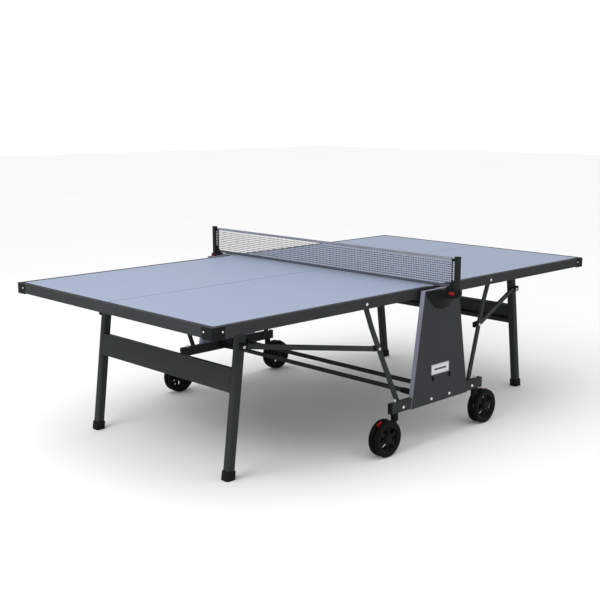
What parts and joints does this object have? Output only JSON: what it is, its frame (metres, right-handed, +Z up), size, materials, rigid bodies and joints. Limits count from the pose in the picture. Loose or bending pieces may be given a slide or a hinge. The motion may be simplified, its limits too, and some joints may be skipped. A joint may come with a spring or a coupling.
{
  "type": "folding table tennis table",
  "caption": "Full-size folding table tennis table: two halves that fold up over a wheeled trolley, legs, braces, casters and a net.",
  "frame": {"origin": "on the floor under the middle of the net", "axes": "+X along the table, +Y across it along the net, +Z up"},
  "size_m": [2.749, 1.856, 0.9175],
  "materials": {
    "board": "matt resin laminate with a thin dark centre line",
    "frame": "dark grey powder coat",
    "black_plastic": "black moulded plastic",
    "black_rubber": "black rubber",
    "panel_core": "pale lavender grey",
    "panel_face": "dark grey matt skin",
    "badge": "blank plate with a pale border",
    "bolts": "bright zinc plated",
    "steel": "plain steel",
    "wheel": "black",
    "red": "red",
    "net_cord": "dark woven net",
    "net_tape": "grey woven tape"
  },
  "bodies": {
    "trolley": {"side_rails": "frame", "rail_end_caps": "black_plastic", "side_panels": "panel_core", "panel_facings": "panel_face", "badge_plates": "badge", "panel_hooks": "panel_face", "cross_tubes": "frame", "tube_sockets": "black_plastic", "guide_tracks": "black_plastic", "trolley_bolts": "bolts", "net_brackets": "black_plastic", "net_posts": "frame", "net_clips": "black_plastic", "net_mesh": "net_cord", "net_tape": "net_tape", "net_hem": "net_tape"},
    "carriage_left": {"guide_shaft_left": "steel"},
    "half_left": {"board_left": "board", "side_aprons_left": "frame", "end_apron_left": "frame", "inner_apron_left": "frame", "corner_caps_left": "black_plastic", "ribs_left": "frame", "leg_brackets_left": "black_plastic", "frame_bolts_left": "bolts"},
    "arms_left": {"arms_left": "frame"},
    "legs_left": {"leg_frame_left": "frame", "feet_left": "black_rubber"},
    "braces_left": {"braces_left": "frame"},
    "carriage_right": {"guide_shaft_right": "steel"},
    "half_right": {"board_right": "board", "side_aprons_right": "frame", "end_apron_right": "frame", "inner_apron_right": "frame", "corner_caps_right": "black_plastic", "ribs_right": "frame", "leg_brackets_right": "black_plastic", "frame_bolts_right": "bolts"},
    "arms_right": {"arms_right": "frame"},
    "legs_right": {"leg_frame_right": "frame", "feet_right": "black_rubber"},
    "braces_right": {"braces_right": "frame"},
    "fork_front_left": {"caster_fork_front_left": "black_plastic"},
    "wheel_outer_front_left": {"caster_wheel_outer_front_left": "wheel"},
    "wheel_inner_front_left": {"caster_wheel_inner_front_left": "wheel"},
    "brake_front_left": {"caster_brake_front_left": "red"},
    "fork_front_right": {"caster_fork_front_right": "black_plastic"},
    "wheel_outer_front_right": {"caster_wheel_outer_front_right": "wheel"},
    "wheel_inner_front_right": {"caster_wheel_inner_front_right": "wheel"},
    "brake_front_right": {"caster_brake_front_right": "red"},
    "fork_rear_left": {"caster_fork_rear_left": "black_plastic"},
    "wheel_outer_rear_left": {"caster_wheel_outer_rear_left": "wheel"},
    "wheel_inner_rear_left": {"caster_wheel_inner_rear_left": "wheel"},
    "brake_rear_left": {"caster_brake_rear_left": "red"},
    "fork_rear_right": {"caster_fork_rear_right": "black_plastic"},
    "wheel_outer_rear_right": {"caster_wheel_outer_rear_right": "wheel"},
    "wheel_inner_rear_right": {"caster_wheel_inner_rear_right": "wheel"},
    "brake_rear_right": {"caster_brake_rear_right": "red"},
    "release_front": {"net_release_front": "red"},
    "release_rear": {"net_release_rear": "red"}
  },
  "joints": [
    {"name": "guide_slide_left", "type": "slide", "parent": "trolley", "child": "carriage_left", "axis": [0, 0, -1], "range_m": [0, 0.37033]},
    {"name": "half_fold_left", "type": "hinge", "parent": "carriage_left", "child": "half_left", "pos_m": [-0.095, 0, 0.738], "axis": [0, 1, 0], "range_deg": [0, 90]},
    {"name": "arm_swing_left", "type": "hinge", "parent": "half_left", "child": "arms_left", "pos_m": [-0.475, 0, 0.734], "axis": [0, -1, 0], "range_deg": [0, 50.44]},
    {"name": "leg_fold_left", "type": "hinge", "parent": "half_left", "child": "legs_left", "pos_m": [-1.0098, 0, 0.714], "axis": [0, -1, 0], "range_deg": [0, 82.97]},
    {"name": "brace_swing_left", "type": "hinge", "parent": "legs_left", "child": "braces_left", "pos_m": [-1.02521, 0, 0.592], "axis": [0, 1, 0], "range_deg": [0, 77.8]},
    {"name": "guide_slide_right", "type": "slide", "parent": "trolley", "child": "carriage_right", "axis": [0, 0, -1], "range_m": [0, 0.37033]},
    {"name": "half_fold_right", "type": "hinge", "parent": "carriage_right", "child": "half_right", "pos_m": [0.095, 0, 0.738], "axis": [0, -1, 0], "range_deg": [0, 90]},
    {"name": "arm_swing_right", "type": "hinge", "parent": "half_right", "child": "arms_right", "pos_m": [0.475, 0, 0.734], "axis": [0, 1, 0], "range_deg": [0, 50.44]},
    {"name": "leg_fold_right", "type": "hinge", "parent": "half_right", "child": "legs_right", "pos_m": [1.0098, 0, 0.714], "axis": [0, 1, 0], "range_deg": [0, 82.97]},
    {"name": "brace_swing_right", "type": "hinge", "parent": "legs_right", "child": "braces_right", "pos_m": [1.02521, 0, 0.592], "axis": [0, -1, 0], "range_deg": [0, 77.8]},
    {"name": "swivel_front_left", "type": "hinge", "parent": "trolley", "child": "fork_front_left", "pos_m": [-0.312, -0.794, 0.19], "axis": [0, 0, 1], "continuous": true},
    {"name": "roll_outer_front_left", "type": "hinge", "parent": "fork_front_left", "child": "wheel_outer_front_left", "pos_m": [-0.379, -0.794, 0.088], "axis": [0, 1, 0], "continuous": true},
    {"name": "roll_inner_front_left", "type": "hinge", "parent": "fork_front_left", "child": "wheel_inner_front_left", "pos_m": [-0.379, -0.794, 0.088], "axis": [0, 1, 0], "continuous": true},
    {"name": "brake_press_front_left", "type": "hinge", "parent": "fork_front_left", "child": "brake_front_left", "pos_m": [-0.36823, -0.794, 0.14906], "axis": [0, -1, 0], "range_deg": [0, 8]},
    {"name": "swivel_front_right", "type": "hinge", "parent": "trolley", "child": "fork_front_right", "pos_m": [0.312, -0.794, 0.19], "axis": [0, 0, 1], "continuous": true},
    {"name": "roll_outer_front_right", "type": "hinge", "parent": "fork_front_right", "child": "wheel_outer_front_right", "pos_m": [0.379, -0.794, 0.088], "axis": [0, 1, 0], "continuous": true},
    {"name": "roll_inner_front_right", "type": "hinge", "parent": "fork_front_right", "child": "wheel_inner_front_right", "pos_m": [0.379, -0.794, 0.088], "axis": [0, 1, 0], "continuous": true},
    {"name": "brake_press_front_right", "type": "hinge", "parent": "fork_front_right", "child": "brake_front_right", "pos_m": [0.36823, -0.794, 0.14906], "axis": [0, 1, 0], "range_deg": [0, 8]},
    {"name": "swivel_rear_left", "type": "hinge", "parent": "trolley", "child": "fork_rear_left", "pos_m": [-0.312, 0.794, 0.19], "axis": [0, 0, 1], "continuous": true},
    {"name": "roll_outer_rear_left", "type": "hinge", "parent": "fork_rear_left", "child": "wheel_outer_rear_left", "pos_m": [-0.379, 0.794, 0.088], "axis": [0, 1, 0], "continuous": true},
    {"name": "roll_inner_rear_left", "type": "hinge", "parent": "fork_rear_left", "child": "wheel_inner_rear_left", "pos_m": [-0.379, 0.794, 0.088], "axis": [0, 1, 0], "continuous": true},
    {"name": "brake_press_rear_left", "type": "hinge", "parent": "fork_rear_left", "child": "brake_rear_left", "pos_m": [-0.36823, 0.794, 0.14906], "axis": [0, -1, 0], "range_deg": [0, 8]},
    {"name": "swivel_rear_right", "type": "hinge", "parent": "trolley", "child": "fork_rear_right", "pos_m": [0.312, 0.794, 0.19], "axis": [0, 0, 1], "continuous": true},
    {"name": "roll_outer_rear_right", "type": "hinge", "parent": "fork_rear_right", "child": "wheel_outer_rear_right", "pos_m": [0.379, 0.794, 0.088], "axis": [0, 1, 0], "continuous": true},
    {"name": "roll_inner_rear_right", "type": "hinge", "parent": "fork_rear_right", "child": "wheel_inner_rear_right", "pos_m": [0.379, 0.794, 0.088], "axis": [0, 1, 0], "continuous": true},
    {"name": "brake_press_rear_right", "type": "hinge", "parent": "fork_rear_right", "child": "brake_rear_right", "pos_m": [0.36823, 0.794, 0.14906], "axis": [0, 1, 0], "range_deg": [0, 8]},
    {"name": "release_press_front", "type": "slide", "parent": "trolley", "child": "release_front", "axis": [1, 0, 0], "range_m": [0, 0.002], "stiffness_N_per_m": 300, "springref_m": -0.003},
    {"name": "release_press_rear", "type": "slide", "parent": "trolley", "child": "release_rear", "axis": [1, 0, 0], "range_m": [0, 0.002], "stiffness_N_per_m": 300, "springref_m": -0.003}
  ],
  "couplings": [
    {"joint": "guide_slide_left", "follows": "half_fold_left", "m_per_rad": 0.23576},
    {"joint": "arm_swing_left", "follows": "half_fold_left", "ratio": 0.56049},
    {"joint": "leg_fold_left", "follows": "half_fold_left", "ratio": 0.92192},
    {"joint": "brace_swing_left", "follows": "half_fold_left", "ratio": 0.86442},
    {"joint": "guide_slide_right", "follows": "half_fold_right", "m_per_rad": 0.23576},
    {"joint": "arm_swing_right", "follows": "half_fold_right", "ratio": 0.56049},
    {"joint": "leg_fold_right", "follows": "half_fold_right", "ratio": 0.92192},
    {"joint": "brace_swing_right", "follows": "half_fold_right", "ratio": 0.86442}
  ]
}
